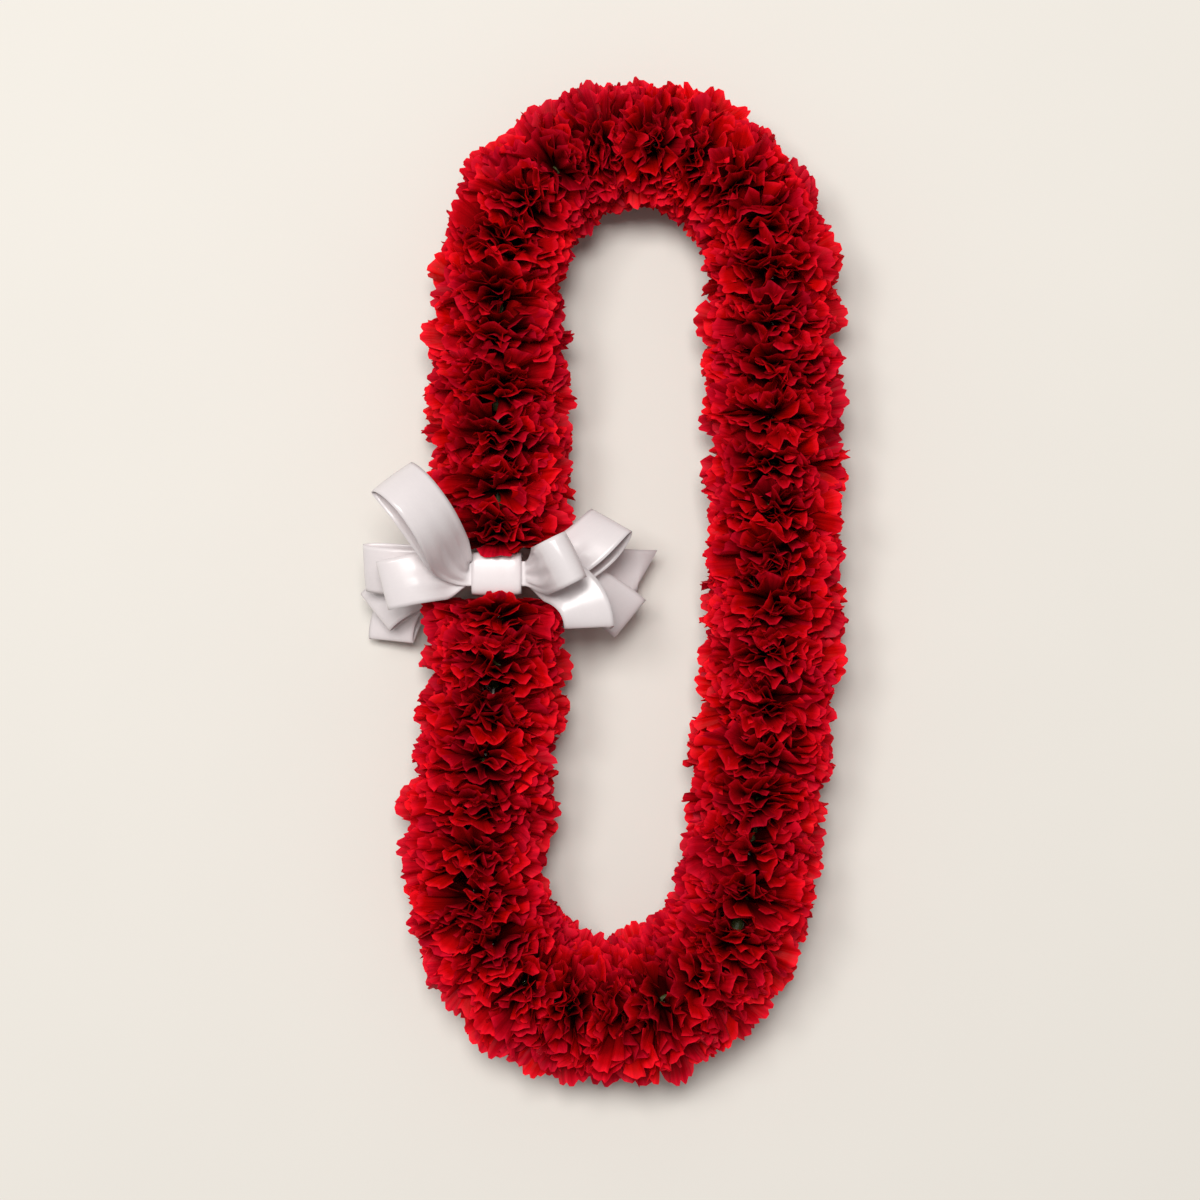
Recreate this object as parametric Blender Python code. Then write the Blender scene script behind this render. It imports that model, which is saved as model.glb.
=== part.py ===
"""Fresh carnation lei with a satin ribbon bow, lying flat as it would on a table.

Flower heads are threaded side by side on one cord whose ends are tied together. A ribbon bow is
bound round the cord at that knot, in the gap between the first and the last flower.

Frame: metres, +Z up, the long way of the lei along Y, the bow on the -X arm facing up. The origin is
under the middle of the whole object, on the surface that it lies on.
"""

import math
from typing import NamedTuple

import bmesh
import bpy
import numpy as np

MM = 0.001

# The loop that the cord makes.
CORD_LOOP_LENGTH = 428 * MM  # top to bottom, between the cord's two bends
CORD_LOOP_WIDTH = 135 * MM  # arm to arm
FOOT_DRIFT = 12 * MM  # the lower end lies this much towards -X
DRIFT_FROM_Y, DRIFT_TO_Y = -20 * MM, -150 * MM
BOW_Y = 2 * MM  # height of the bow on the -X arm, above the loop's middle
CORD_HEIGHT = 33 * MM  # of the cord above the surface: the lowest petals are pressed flat

# The cord, whose ends are tied together at the bow.
CORD_RADIUS = 0.6 * MM
CORD_POINTS = 80
CORD_KNOT_RADIUS = 1.9 * MM

# The flowers.
FLOWER_COUNT = 42
BOW_GAP = 18 * MM  # along the cord, between the two flowers beside the bow
BOW_GAP_SLOPE = 0.25  # each of those two is pushed back this much per millimetre from the cord
BOW_GAP_SIDES = (-0.85, -0.3)  # but not underneath: the slope fades between these heights
FACE_GAP = 0.5 * MM  # between neighbouring flowers
HOLE_RADIUS = 1.8 * MM
FLOWER_SIDES = 12
FRINGE_DEPTH = 0.03  # the rim's lobes, as a share of the radius
ARM_RADIUS = 37.5 * MM
TOP_END_RADIUS = 32.5 * MM
FOOT_END_RADIUS = 38.5 * MM
OTHER_ARM_RADIUS = 35.5 * MM  # the arm without the bow is a little slimmer
PRESSED_BY_BOW = (30 * MM, 34 * MM)  # how far the first and second flowers may rise beside it

# Half of a flower's outline, as (share of the radius, share of the half length along the cord).
FLOWER_PROFILE = ((0.42, 1.0), (0.86, 0.92), (1.0, 0.52), (1.0, -0.52), (0.86, -0.92), (0.42, -1.0))
HOLE_PROFILE = (-0.86, 0.86)

# The ribbon and its bow. Places in the bow are measured from the cord at the bow's middle.
RIBBON_WIDTH = 24 * MM
RIBBON_THICKNESS = 0.8 * MM
GATHERED_SHARE = 0.5  # of the ribbon's width, inside the bow's wrap
TAIL_SLANT = 6 * MM  # the tail's end is cut on a slant
FIRST_LEVEL, LEVEL_STEP = 9.0 * MM, 1.25 * MM  # the ribbon's layers inside the wrap
FAN = 1.3 * MM  # how far the layers spread, level by level, just outside it
WRAP_HALF_LENGTH = 12 * MM
WRAP_CENTRE_Z, WRAP_HALF_HEIGHT = 13.4 * MM, 9.0 * MM
WRAP_HALF_WIDTH, WRAP_TOP_GAIN = 9.6 * MM, 2.4 * MM
WRAP_SQUARENESS = (0.5, 0.8)
WRAP_SIDES, WRAP_STEPS = 20, 1
TIE_HALF_LENGTH, TIE_HALF_WIDTH = 14 * MM, 4 * MM
TIE_LOW, TIE_HIGH = -3.2 * MM, 7.6 * MM  # under the cord, and through the wrap below the loops
TIE_SIDES = 20
RIBBON_STEPS, RIBBON_STRIPS = 24, 1

# Where things happen along a loop, as shares of its way from the wrap's middle to its tip.
MOUTH_SHARE = 0.16  # it leaves the wrap
FULL_WIDTH_SHARE = 0.5  # it has opened to its whole width
ROLLED_SHARE = 0.56  # it has turned about its own length
SWELL_SHARES = (0.36, 0.75)  # its two layers part
TURN_SHARE = 0.82  # its round end begins
MOUTH_GAP = 2 * MM  # from the wrap's edge to where its curve begins
MOUTH_RUN = 8 * MM  # it goes on nearly level for this far
MIDDLE_LEVEL = 4.5

CARNATION_RED = (0.45, 0.004, 0.012)
SATIN_WHITE = (0.86, 0.82, 0.82)
CORD_WHITE = (0.75, 0.72, 0.65)


class Loop(NamedTuple):
    """A loop or tail of the bow: where it goes, how fat it is and how it is turned."""

    name: str
    side: int  # -1 leaves the wrap towards -X, +1 towards +X
    level: float  # its place in the stack of layers inside the wrap
    via: tuple  # mm, the point that pulls it over the flowers
    tip: tuple  # mm, where it folds back, or ends
    bulge: float  # mm, how far its two layers stand apart
    roll: float  # degrees, how far it is turned about its own length
    tail: bool = False


LOOPS = (
    Loop("bow_loop_left_upper", -1, 8.5, (-28, 29, 69), (-49, 45, 46), 14, 21),
    Loop("bow_loop_left_front", -1, 6.5, (-35, -1, 28), (-55, -6, 25), 10, -3),
    Loop("bow_loop_left_back", -1, 4.5, (-42, 2, 12), (-65, 3, 7), 8, -20),
    Loop("bow_loop_left_lower", -1, 2.5, (-44, -4, -5), (-61, -19, -9), 7, 11),
    Loop("bow_loop_left_hanging", -1, 0.5, (-50, -1, -24), (-54, -33, -20), 7, 20),
    Loop("bow_loop_right_front", 1, 8.5, (26, 3, 61), (38.5, 9, 46), 7, 0),
    Loop("bow_loop_right_lower", 1, 6.5, (44, -3, 33.5), (45, -26, 28.5), 6, -2),
    Loop("bow_loop_right_upper", 1, 4.5, (43.5, 5.5, 15), (56, 26, 13), 12, 22),
    Loop("bow_loop_right_back", 1, 2.5, (44, -4, -0.3), (65, -22, -5), 7, 3),
    Loop("bow_tail_right", 1, 0.5, (44, 2, -11), (72, 0, -17), 0, 0, tail=True),
)


def clear_scene():
    for old in list(bpy.data.objects):
        bpy.data.objects.remove(old)


def smooth(x, start=0.0, end=1.0):
    """0 before start, 1 after end, and a smooth rise between."""
    x = np.clip((x - start) / (end - start), 0.0, 1.0)
    return x * x * (3 - 2 * x)


def material(name, colour, roughness):
    made = bpy.data.materials.new(name)
    made.use_nodes = True
    shader = made.node_tree.nodes["Principled BSDF"]
    shader.inputs["Base Color"].default_value = (*colour, 1.0)
    shader.inputs["Roughness"].default_value = roughness
    shader.inputs["Metallic"].default_value = 0.0
    return made


def object_from_grid(name, points, wrap_rows, wrap_columns, finish):
    """One object from a grid of points, with its rows and columns closed into rings where asked."""
    rows, columns = points.shape[:2]
    mesh = bpy.data.meshes.new(name)
    bm = bmesh.new()
    verts = [[bm.verts.new(p) for p in row] for row in points]
    for i in range(rows if wrap_rows else rows - 1):
        for j in range(columns if wrap_columns else columns - 1):
            below, right = (i + 1) % rows, (j + 1) % columns
            bm.faces.new((verts[i][j], verts[i][right], verts[below][right], verts[below][j]))
    bmesh.ops.recalc_face_normals(bm, faces=bm.faces)
    bm.to_mesh(mesh)
    bm.free()
    mesh.materials.append(finish)
    made = bpy.data.objects.new(name, mesh)
    bpy.context.collection.objects.link(made)
    return made


class Centreline:
    """The cord's loop: two half circles joined by straight arms, whose lower end drifts to one side.

    A place on it is a length along it from the bow, going up the -X arm.
    """

    SAMPLES = 4000

    def __init__(self):
        bend = CORD_LOOP_WIDTH / 2
        arm = CORD_LOOP_LENGTH - CORD_LOOP_WIDTH
        whole = 2 * arm + 2 * math.pi * bend
        start = arm / 2 + BOW_Y
        run = (start + np.linspace(0, whole, self.SAMPLES)) % whole
        first, second = arm, arm + math.pi * bend
        third = second + arm
        up = run - arm / 2
        top = math.pi - (run - first) / bend
        down = arm / 2 - (run - second)
        foot = -(run - third) / bend
        zone = [run < first, run < second, run < third, run >= third]
        x = np.select(zone, [-bend + 0 * run, bend * np.cos(top), bend + 0 * run, bend * np.cos(foot)])
        y = np.select(zone, [up, arm / 2 + bend * np.sin(top), down, -arm / 2 + bend * np.sin(foot)])
        x = x - FOOT_DRIFT * smooth(y, DRIFT_FROM_Y, DRIFT_TO_Y)
        self.points = np.stack([x, y], axis=1)
        steps = np.linalg.norm(np.diff(self.points, axis=0), axis=1)
        self.lengths = np.concatenate([[0], np.cumsum(steps)])
        self.total = self.lengths[-1]

    def at(self, length):
        """The cord's place at each length along it, and the level directions along and outwards."""
        length = np.asarray(length, float)
        step = 1 * MM

        def place(where):
            where = np.mod(where, self.total)
            return np.stack([np.interp(where, self.lengths, self.points[:, k]) for k in (0, 1)], axis=-1)

        along = place(length + step) - place(length - step)
        along /= np.linalg.norm(along, axis=-1, keepdims=True)
        outwards = np.stack([-along[..., 1], along[..., 0]], axis=-1)
        return place(length), along, outwards

    def solid_point(self, length, out, up):
        """Points at a length along the cord, this far outwards and up from it."""
        place, _, outwards = self.at(length)
        level = place + outwards * np.asarray(out)[..., None]
        height = CORD_HEIGHT + np.broadcast_to(up, level.shape[:-1])
        return np.concatenate([level, height[..., None]], axis=-1)


def strand_radius(line, length):
    """The flowers' radius at a length along the cord: full at the foot, slimmer at the top."""
    place, _, _ = line.at(length)
    x, y = place
    mid_arm = (CORD_LOOP_LENGTH - CORD_LOOP_WIDTH) / 4
    arm = OTHER_ARM_RADIUS if x > 0 else ARM_RADIUS
    to_top = smooth(y, mid_arm, CORD_LOOP_LENGTH / 2)
    to_foot = smooth(-y, mid_arm, CORD_LOOP_LENGTH / 2)
    return arm + (TOP_END_RADIUS - arm) * to_top + (FOOT_END_RADIUS - arm) * to_foot


def make_flower(line, index, petals):
    """One strung carnation head: a fringed disc round the cord, flat where it is pressed down."""
    pitch = (line.total - BOW_GAP) / FLOWER_COUNT
    start = BOW_GAP / 2 + index * pitch
    radius = strand_radius(line, start + pitch / 2)
    from_bow = min(index, FLOWER_COUNT - 1 - index)
    roof = PRESSED_BY_BOW[from_bow] if from_bow < len(PRESSED_BY_BOW) else 2 * radius

    angle = (np.arange(FLOWER_SIDES) + 0.5) * 2 * math.pi / FLOWER_SIDES
    lobes = radius * (1 + FRINGE_DEPTH * (-1.0) ** np.arange(FLOWER_SIDES))
    up_share = np.sin(angle)
    floor_limit = CORD_HEIGHT / np.maximum(-up_share, 1e-6)
    roof_limit = roof / np.maximum(up_share, 1e-6)
    rim = np.minimum(lobes, np.minimum(floor_limit, roof_limit))

    beside_bow = smooth(up_share, *BOW_GAP_SIDES)
    rings = [(HOLE_RADIUS + 0 * rim, h) for h in HOLE_PROFILE]
    rings += [(np.maximum(rim * share, HOLE_RADIUS), h) for share, h in FLOWER_PROFILE]
    points = []
    for reach, h in rings:
        up = reach * up_share
        pushed = BOW_GAP_SLOPE * reach * beside_bow
        low = start + FACE_GAP / 2 + (pushed if index == 0 else 0 * up)
        high = start + pitch - FACE_GAP / 2 - (pushed if index == FLOWER_COUNT - 1 else 0 * up)
        length = low + (high - low) * (h + 1) / 2
        points.append(line.solid_point(length, reach * np.cos(angle), up))
    points = np.stack(points)

    place, along, _ = line.at(start + pitch / 2)
    centre = np.array([*place, CORD_HEIGHT])
    turn = math.atan2(along[1], along[0]) - math.pi / 2
    c, s = math.cos(turn), math.sin(turn)
    local = (points - centre) @ np.array([[c, -s, 0], [s, c, 0], [0, 0, 1]])
    name = f"carnation_{index + 1:02d}"
    made = object_from_grid(name, local, True, True, petals)
    made.location = centre
    made.rotation_euler = (0, 0, turn)
    return made


def make_cord(line, finish):
    """The cord through every flower, one closed tube that thickens where its ends are tied."""
    run = np.arange(CORD_POINTS) * line.total / CORD_POINTS
    route = line.solid_point(run, 0 * run, 0.0)
    curve = bpy.data.curves.new("cord", "CURVE")
    curve.dimensions = "3D"
    curve.bevel_depth = CORD_RADIUS
    curve.bevel_resolution = 2
    spline = curve.splines.new("POLY")
    spline.points.add(len(route) - 1)
    for point, place in zip(spline.points, route):
        point.co = (*place, 1.0)
    spline.points[0].radius = CORD_KNOT_RADIUS / CORD_RADIUS
    spline.use_cyclic_u = True
    curve.materials.append(finish)
    made = bpy.data.objects.new("cord", curve)
    bpy.context.collection.objects.link(made)
    return made


def spine_of(loop, share):
    """The middle line of a loop: level out of the wrap, then a cubic curve by its via point."""
    level = FIRST_LEVEL + loop.level * LEVEL_STEP
    start = np.array([loop.side * 1 * MM, 0, level])
    mouth = np.array([loop.side * (WRAP_HALF_LENGTH + MOUTH_GAP), 0, level])
    ahead = mouth + np.array([loop.side * MOUTH_RUN, 0, (loop.level - MIDDLE_LEVEL) * FAN])
    via, tip = np.array(loop.via) * MM, np.array(loop.tip) * MM
    t = np.clip((share - MOUTH_SHARE) / (1 - MOUTH_SHARE), 0, 1)[:, None]
    curve = (1 - t) ** 3 * mouth + 3 * (1 - t) ** 2 * t * ahead + 3 * (1 - t) * t**2 * via + t**3 * tip
    straight = start + (mouth - start) * (share / MOUTH_SHARE)[:, None]
    return np.where((share < MOUTH_SHARE)[:, None], straight, curve)


def ribbon_frame(loop, share):
    """Along, across and thickness directions of a loop, at each share of its way to the tip."""
    step = 0.01
    back, front = np.clip(share - step, 0, 1), np.clip(share + step, 0, 1)
    along = spine_of(loop, front) - spine_of(loop, back)
    along /= np.linalg.norm(along, axis=1, keepdims=True)
    level = np.stack([-along[:, 1], along[:, 0], 0 * share], axis=1) * loop.side
    level /= np.linalg.norm(level, axis=1, keepdims=True)
    upright = np.cross(along, level) * loop.side
    roll = np.radians(loop.roll) * smooth(share, MOUTH_SHARE, ROLLED_SHARE)[:, None]
    across = np.cos(roll) * level - np.sin(roll) * upright
    thick = np.cos(roll) * upright + np.sin(roll) * level
    return across, thick


def loop_route(loop, steps):
    """A loop's centre points and half-width vectors: out on the upper layer and back on the lower."""
    if loop.tail:
        share = np.linspace(0, 1, steps)
        centre = spine_of(loop, share)
        across, _ = ribbon_frame(loop, share)
    else:
        leg = 1 - np.abs(np.linspace(-1, 1, steps))
        upper = np.where(np.arange(steps) * 2 < steps, 1.0, -1.0)
        swing = np.clip((leg - TURN_SHARE) / (1 - TURN_SHARE), 0, 1) * math.pi / 2
        share = np.where(leg < TURN_SHARE, leg, TURN_SHARE + (1 - TURN_SHARE) * np.sin(swing))
        layer, full = LEVEL_STEP / 2, loop.bulge * MM / 2
        rise = layer + (full - layer) * smooth(share, *SWELL_SHARES)
        rise *= np.cos(swing) * upper
        across, thick = ribbon_frame(loop, share)
        centre = spine_of(loop, share) + thick * rise[:, None]
    gather = GATHERED_SHARE + (1 - GATHERED_SHARE) * smooth(share, MOUTH_SHARE, FULL_WIDTH_SHARE)
    return centre, across * (RIBBON_WIDTH / 2 * gather)[:, None]


def make_loop(line, loop, satin):
    """One loop of the bow as a sheet of ribbon with its thickness added."""
    steps = RIBBON_STEPS // 2 if loop.tail else RIBBON_STEPS + 1
    centre, half = loop_route(loop, steps)
    share = np.linspace(-1, 1, RIBBON_STRIPS + 1)
    points = centre[:, None] + half[:, None] * share[None, :, None]
    if loop.tail:
        points[-1] += (TAIL_SLANT * share)[:, None] * np.array([loop.side, 0, 0])
    made = object_from_grid(loop.name, points, False, False, satin)
    made.location = line.solid_point(0.0, 0.0, 0.0)
    thickness = made.modifiers.new("Thickness", "SOLIDIFY")
    thickness.thickness = RIBBON_THICKNESS
    thickness.offset = 0
    thickness.use_even_offset = True
    made.data.shade_smooth()
    return made


def make_wrap(line, satin):
    """The short ribbon bound round the bow's waist, egg-shaped and wider above."""
    angle = np.arange(WRAP_SIDES) * 2 * math.pi / WRAP_SIDES
    wide, high = WRAP_SQUARENESS
    reach = (WRAP_HALF_WIDTH + WRAP_TOP_GAIN * np.sin(angle)) * np.abs(np.cos(angle)) ** wide
    y = reach * np.sign(np.cos(angle))
    z = WRAP_HALF_HEIGHT * np.abs(np.sin(angle)) ** high * np.sign(np.sin(angle))
    share = np.linspace(-1, 1, WRAP_STEPS + 1)
    points = np.zeros((WRAP_STEPS + 1, WRAP_SIDES, 3))
    points[..., 0] = share[:, None] * WRAP_HALF_LENGTH
    points[..., 1] = y
    points[..., 2] = WRAP_CENTRE_Z + z
    made = object_from_grid("bow_wrap", points, False, True, satin)
    made.location = line.solid_point(0.0, 0.0, 0.0)
    thickness = made.modifiers.new("Thickness", "SOLIDIFY")
    thickness.thickness = RIBBON_THICKNESS
    thickness.offset = 1
    thickness.use_even_offset = True
    made.data.shade_smooth()
    return made


def make_tie(line, satin):
    """The ribbon's own turn round the cord: through the wrap under the loops, and below the cord."""
    angle = np.arange(TIE_SIDES) * 2 * math.pi / TIE_SIDES
    middle, half = (TIE_LOW + TIE_HIGH) / 2, (TIE_HIGH - TIE_LOW) / 2
    points = np.zeros((3, TIE_SIDES, 3))
    points[..., 0] = TIE_HALF_LENGTH * np.abs(np.cos(angle)) ** 0.7 * np.sign(np.cos(angle))
    points[..., 1] = np.linspace(-TIE_HALF_WIDTH, TIE_HALF_WIDTH, 3)[:, None]
    points[..., 2] = middle + half * np.abs(np.sin(angle)) ** 0.7 * np.sign(np.sin(angle))
    made = object_from_grid("bow_tie", points, False, True, satin)
    made.location = line.solid_point(0.0, 0.0, 0.0)
    thickness = made.modifiers.new("Thickness", "SOLIDIFY")
    thickness.thickness = RIBBON_THICKNESS
    thickness.offset = 0
    made.data.shade_smooth()
    return made


def stand_on_origin(pieces):
    """Puts everything under one empty, so that the origin is below the middle of the whole lei."""
    bpy.context.view_layer.update()
    graph = bpy.context.evaluated_depsgraph_get()
    places = []
    for piece in pieces:
        shown = piece.evaluated_get(graph)
        mesh = shown.to_mesh()
        local = np.zeros(len(mesh.vertices) * 3, np.float32)
        mesh.vertices.foreach_get("co", local)
        shown.to_mesh_clear()
        world = np.array(shown.matrix_world)
        places.append(local.reshape(-1, 3) @ world[:3, :3].T + world[:3, 3])
    low, high = np.min(np.concatenate(places), axis=0), np.max(np.concatenate(places), axis=0)
    holder = bpy.data.objects.new("lei", None)
    bpy.context.collection.objects.link(holder)
    holder.location = (-(low[0] + high[0]) / 2, -(low[1] + high[1]) / 2, -low[2])
    for piece in pieces:
        piece.parent = holder


def main():
    clear_scene()
    petals = material("petals", CARNATION_RED, 0.6)
    satin = material("satin", SATIN_WHITE, 0.35)
    cotton = material("cord", CORD_WHITE, 0.8)
    line = Centreline()
    pieces = [make_flower(line, index, petals) for index in range(FLOWER_COUNT)]
    pieces += [make_cord(line, cotton), make_wrap(line, satin), make_tie(line, satin)]
    pieces += [make_loop(line, loop, satin) for loop in LOOPS]
    stand_on_origin(pieces)


main()
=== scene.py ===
"""Looks of a fresh carnation lei with a satin ribbon bow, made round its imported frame.

Every flower is a ruff of separate ruffled petals that stand out from the cord on all sides. The bow
is strips of satin ribbon that follow the same routes as the frame's solids.

Frame: metres, +Z up, the long way of the lei along Y, the surface that it lies on at Z 0. A place
on the strand is a length along the cord from the bow, a distance out from the cord, away from the
loop's middle, and a height above the cord.
"""

import math
from typing import NamedTuple

import bpy
import numpy as np
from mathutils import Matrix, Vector


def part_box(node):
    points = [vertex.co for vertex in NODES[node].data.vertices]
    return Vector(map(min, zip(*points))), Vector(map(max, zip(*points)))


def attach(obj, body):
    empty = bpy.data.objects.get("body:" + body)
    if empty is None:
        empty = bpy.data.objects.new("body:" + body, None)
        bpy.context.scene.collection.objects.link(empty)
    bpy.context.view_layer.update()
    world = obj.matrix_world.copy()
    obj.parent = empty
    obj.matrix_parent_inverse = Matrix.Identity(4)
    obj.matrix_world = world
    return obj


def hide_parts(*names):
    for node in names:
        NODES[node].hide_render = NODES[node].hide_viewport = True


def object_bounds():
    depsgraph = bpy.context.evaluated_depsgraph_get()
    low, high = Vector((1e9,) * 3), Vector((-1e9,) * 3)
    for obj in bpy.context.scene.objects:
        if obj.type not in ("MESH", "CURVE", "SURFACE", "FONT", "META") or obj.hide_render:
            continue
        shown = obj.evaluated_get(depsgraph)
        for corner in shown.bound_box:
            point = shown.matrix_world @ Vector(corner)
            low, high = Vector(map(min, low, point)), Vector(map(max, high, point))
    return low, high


bl_info = {
    "name": "Carnation Lei",
    "version": (1, 0, 0),
    "blender": (4, 5, 0),
    "location": "View3D > Sidebar > Lei",
    "description": "Makes the petals, calyxes, cord, ribbon bow and stage of a carnation lei",
    "category": "Object",
}

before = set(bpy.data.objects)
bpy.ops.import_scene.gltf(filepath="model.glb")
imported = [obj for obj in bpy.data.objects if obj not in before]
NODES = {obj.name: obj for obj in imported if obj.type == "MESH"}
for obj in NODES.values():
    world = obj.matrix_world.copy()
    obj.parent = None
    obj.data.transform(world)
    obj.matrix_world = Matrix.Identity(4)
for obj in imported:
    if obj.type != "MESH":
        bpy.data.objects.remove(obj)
CAD_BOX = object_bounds()
MM = 0.001
FLOWER_SEED, BOW_SEED = 20117, 20217
TINY = 1e-6  # keeps a division by a sine from failing

# The strand.
FLOWERS = sorted(name for name in NODES if name.startswith("carnation_"))
LINE_STEPS = 60  # places worked out between two neighbouring flowers
SLOPE_STEP = 1 * MM  # either way along the cord, to find its direction
FLOOR_CLEARANCE = 0.25 * MM
CRUSH = 1.2 * MM  # how softly petals give way where something presses on them

# Room for the bow among the flowers. Heights and distances are from the cord.
BOW_HALF_GAP = 10.5 * MM  # from the bow's middle to the nearest petals, at the cord
BOW_GAP_SLOPE = 0.05  # and this much more for each millimetre away from the cord
BOW_GAP_RISE = (-0.85, -0.3)  # heights, as shares of the radius, between which that slope sets in
BOW_CRUSH = 3.5 * MM  # how softly petals give way beside the bow
ROOFS = {0: 29 * MM, 1: 33.5 * MM}  # how far flowers rise under the ribbons, by place from the bow
ROOF_UNEVEN = (0.95, 1.02)  # shares of that height at which petals that reach it end
OPEN_RISE = 8 * MM  # how much further they rise in the strip over the cord, which no ribbon crosses
OPEN_STRIP = (7 * MM, 20 * MM)  # distances between which that strip closes
WRAP_OVERHANG = 4.5 * MM  # how far petals lean in over the wrap
WRAP_SHOULDER = (22 * MM, 25.5 * MM)  # heights between which they begin to lean
WRAP_SIDE = (8 * MM, 13 * MM)  # distances between which they stop

# One petal. Pairs are the lowest and highest values that are drawn.
PETAL_COLUMNS = 13
LOBE_COLUMNS = 3  # from one notch of the margin to the next
PETAL_ROWS = np.array([0.0, 0.42, 0.8, 1.0])  # shares of its length
PETAL_THICKNESS = 0.22 * MM
CLAW_HALF_WIDTH = 2.4 * MM
WIDENING = (0.95, 1.4)  # power by which it widens from its claw
CORNER_DROP, CORNER_POWER = (0.14, 0.36), 2.6  # how far its far corners fall back, as shares of it
NOTCH_DEPTH = (0.5, 1.3)  # shares of the tooth depth
COLUMN_SHIFT = 0.28  # most that a column moves sideways, as a share of its own width
WAVES, FINE_WAVES = (1.2, 2.5), 2.1  # waves across it, and fine waves to one of those
WAVE_SIZE, FINE_SIZE = (0.5, 1.4), (0.05, 0.25)  # shares of the ruffle
FOLDED_SHARE, FOLD = 0.2, 7  # how many petals fold along the middle, and by how many millimetres
CUP, BEND, SKEW = 2.6 * MM, 3.2 * MM, 2.2 * MM  # usual depth of its cup, and bend up and sideways

# How the petals of a flower stand.
BASE_REACH = 3.2 * MM  # from the cord's middle to where petals begin
# Petals up to one share of them are in the outer layer, and from another on in the inner one. Their
# reach is in shares of the flower's radius.
OUTER_TO, INNER_FROM = 0.55, 0.84
OUTER_REACH, MIDDLE_REACH, INNER_REACH = (0.95, 1.09), (0.80, 0.95), (0.50, 0.76)
EVEN_STEPS = (0.7548777, 0.5698403)  # of turns and of stations, that scatter petals evenly
FLOWER_TURN = 1.7  # radians from one flower to the next
ANGLE_SCATTER, AHEAD_SCATTER = 0.16, 3.4 * MM
LUMPS = (0.035, 0.03)  # how uneven the flower's outline is, twice and three times round
ROUNDED = 0.17  # how much less petals reach at either end of the flower than in its middle
START_SPREAD, AHEAD_SPREAD = 0.22, 0.36  # of the pitch, where petals begin and where they end
WIDTH_SPREAD = (0.84, 1.18)  # shares of the petal width
FLAT_TWIST, SLIGHT_TWIST = (0.95, 1.5), 0.27  # radians, for petals seen flat-on and for the others
FLAT_ANYWHERE, FLAT_AT_SIDES = 0.10, 0.72  # shares that are flat-on anywhere, and more at the sides
FLAT_FROM = (0.10, 0.55)  # where those set in, on the way from the top or underside to the sides

# The calyx: a closed profile round the cord. Each row is its reach in millimetres, its place from
# the flower's middle as a share of the pitch, and how many millimetres its points go out and ahead.
CALYX_SIDES, CALYX_POINTS = 30, 5
CALYX_PROFILE = (
    (1.3, -0.50, 0.0, 0.0), (2.2, -0.49, 0.0, 0.0), (3.0, -0.38, 0.1, 0.0), (3.2, -0.2, 0.2, 0.0),
    (3.5, 0.02, 0.5, 3.0), (3.2, 0.02, 0.5, 3.0), (2.8, -0.2, 0.2, 0.0), (1.7, -0.42, 0.0, 0.0),
)

# The ribbon and its bow. Places in the bow are measured from the cord at the bow's middle.
LOOP_STEPS, TAIL_STEPS, RIBBON_STRIPS = 97, 33, 13
GATHERED_SHARE = 0.5  # of the ribbon's width, that is left inside the wrap
TAIL_SLANT = 6 * MM  # how far a corner of the cut tail stands out past its middle
INNER_END = 1 * MM  # from the bow's middle to a loop's ends inside the wrap
FIRST_LEVEL, LEVEL_STEP = 9.0 * MM, 1.25 * MM  # height of level 0 in the wrap, and between levels
MIDDLE_LEVEL = 4.5  # the level that leaves the wrap straight
FAN = 1.3 * MM  # how far each level above or below it turns up or down over the mouth's run
MOUTH_GAP = 2 * MM  # from the wrap's edge to where a loop's curve begins
MOUTH_RUN = 8 * MM  # and from there to the point ahead that the curve is first drawn towards
# Shares of a loop's way to its tip: at its mouth, where it has its full width, where it has its
# whole roll, and where it begins to turn back.
MOUTH_SHARE, FULL_WIDTH_SHARE, ROLLED_SHARE, TURN_SHARE = 0.16, 0.5, 0.56, 0.82
SWELL_SHARES = (0.36, 0.75)  # between which its two layers part
PLEAT_HEIGHT, PLEAT_COUNT = 0.85 * MM, (2.6, 3.6)
PLEAT_GROWTH, PLEAT_FADE = 0.10, (0.30, 0.86)  # shares past the mouth to grow, and to fade between
CROWN_HEIGHT, CROWN_SHARES = 0.7 * MM, (0.4, 0.8)
CROWN_LEVEL = 0.4  # how much of it stands above the flat ribbon
WANDER_HEIGHT, WANDER_SHARES = 0.5 * MM, (0.35, 0.7)
WANDER_ALONG, WANDER_ACROSS = 5, 1.6  # radians over a loop's way, and from its middle to its edge
WANDER_LOSS, LOSS_FROM = 0.8, 0.8  # how much of it is lost towards the tip, and from which share on
ANY_TURN = 6.3  # radians, about one whole turn
WRAP_HALF_LENGTH = 12 * MM
WRAP_CENTRE_Z, WRAP_HALF_HEIGHT = 13.4 * MM, 9.0 * MM
WRAP_HALF_WIDTH, WRAP_TOP_GAIN = 9.6 * MM, 2.4 * MM  # at mid height, and how much wider on top
WRAP_SQUARENESS = (0.5, 0.8)  # powers of the cosine and of the sine round it
WRAP_DRAWN_IN = 0.7 * MM
CREASE_DEPTH, CREASES, CREASE_SLANT = 0.08 * MM, 2.2, 0.6
CAD_RIBBON_THICKNESS = 0.8 * MM
TIE_HALF_LENGTH, TIE_HALF_WIDTH = 14 * MM, 5.1 * MM
TIE_LOW, TIE_HIGH = -3.2 * MM, 7.6 * MM
TIE_SQUARENESS, TIE_RIPPLE, TIE_RIPPLES = 0.7, 0.25 * MM, 3

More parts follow.
